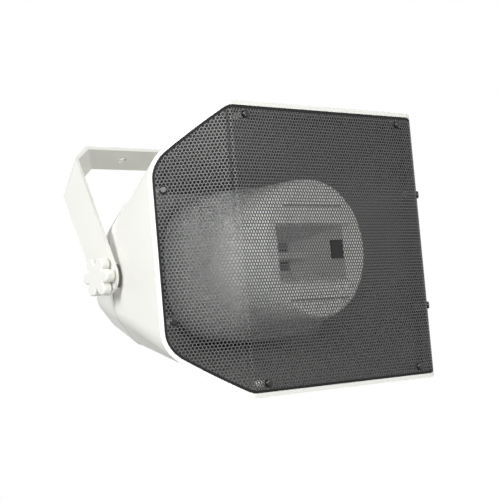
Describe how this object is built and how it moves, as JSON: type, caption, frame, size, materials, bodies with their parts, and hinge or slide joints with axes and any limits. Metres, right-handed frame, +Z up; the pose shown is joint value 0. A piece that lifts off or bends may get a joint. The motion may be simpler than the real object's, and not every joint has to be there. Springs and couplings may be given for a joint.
{
  "type": "horn speaker",
  "caption": "Weatherproof coaxial horn speaker with an eight-sided flared mouth, folded perforated grille, closed back and a tilting strap yoke with hand knobs.",
  "frame": {"origin": "middle of the yoke's mounting face, between its two bolt holes", "axes": "+X to the right seen from the front, +Y from the grille to the back, +Z up"},
  "size_m": [0.554, 0.4189, 0.402],
  "materials": {
    "housing_plastic": "satin moulded, off-white",
    "pod_plastic": "satin moulded, pale grey",
    "grille_coat": "black powder coat",
    "screw_black": "gloss black",
    "yoke_paint": "off-white powder coat",
    "knob_plastic": "satin moulded, off-white",
    "badge": "bare black",
    "steel": "bright plated",
    "gasket": "soft black",
    "cone": "matt black cone",
    "spider_cloth": "treated cloth",
    "coil_former": "wound former",
    "basket_paint": "black paint",
    "magnet_ferrite": "dark ferrite",
    "driver_can": "black paint",
    "gland_plastic": "satin moulded",
    "terminal_plastic": "dark moulding",
    "transformer_core": "laminated",
    "board_laminate": "board laminate",
    "winding": "enamelled copper wire",
    "brass": "turned"
  },
  "bodies": {
    "yoke": {"yoke": "yoke_paint"},
    "horn": {"horn_housing": "housing_plastic", "rear_shell": "housing_plastic", "rear_shell_gasket": "gasket", "grille": "grille_coat", "grille_screws": "screw_black", "badge_plate": "badge", "centre_pod": "pod_plastic", "pod_cover": "pod_plastic", "pod_screws": "steel", "hf_driver": "driver_can", "hf_driver_bolts": "steel", "woofer_gasket": "gasket", "woofer_frame": "basket_paint", "woofer_surround": "gasket", "woofer_spider": "spider_cloth", "woofer_front_plate": "steel", "woofer_magnet": "magnet_ferrite", "woofer_back_plate": "steel", "woofer_bolts": "steel", "tie_screws": "steel", "terminal_cover": "housing_plastic", "terminal_cover_gasket": "gasket", "terminal_cover_screws": "steel", "cable_gland": "gland_plastic", "gland_nut": "gland_plastic", "gland_lock_nut": "gland_plastic", "terminal_block": "terminal_plastic", "line_transformer": "transformer_core", "crossover_board": "board_laminate", "crossover_coil": "winding", "arm_washer_left": "gasket", "arm_washer_right": "gasket", "pivot_insert_left": "brass", "pivot_insert_right": "brass"},
    "knob_left": {"knob_left": "knob_plastic", "knob_stud_left": "steel"},
    "knob_right": {"knob_right": "knob_plastic", "knob_stud_right": "steel"},
    "cone": {"woofer_cone": "cone", "woofer_dust_cap": "cone", "woofer_voice_coil": "coil_former"}
  },
  "joints": [
    {"name": "horn_tilt", "type": "hinge", "parent": "yoke", "child": "horn", "pos_m": [0, -0.07991, -0.18824], "axis": [1, 0, 0], "range_deg": [-23, 157]},
    {"name": "knob_left_turn", "type": "hinge", "parent": "horn", "child": "knob_left", "pos_m": [0, -0.07991, -0.18824], "axis": [-1, 0, 0], "range_deg": [0, 360]},
    {"name": "knob_right_turn", "type": "hinge", "parent": "horn", "child": "knob_right", "pos_m": [0, -0.07991, -0.18824], "axis": [1, 0, 0], "range_deg": [0, 360]},
    {"name": "woofer_cone_travel", "type": "slide", "parent": "horn", "child": "cone", "axis": [0, 1, 0], "range_m": [-0.004, 0.004], "stiffness_N_per_m": 3000}
  ]
}
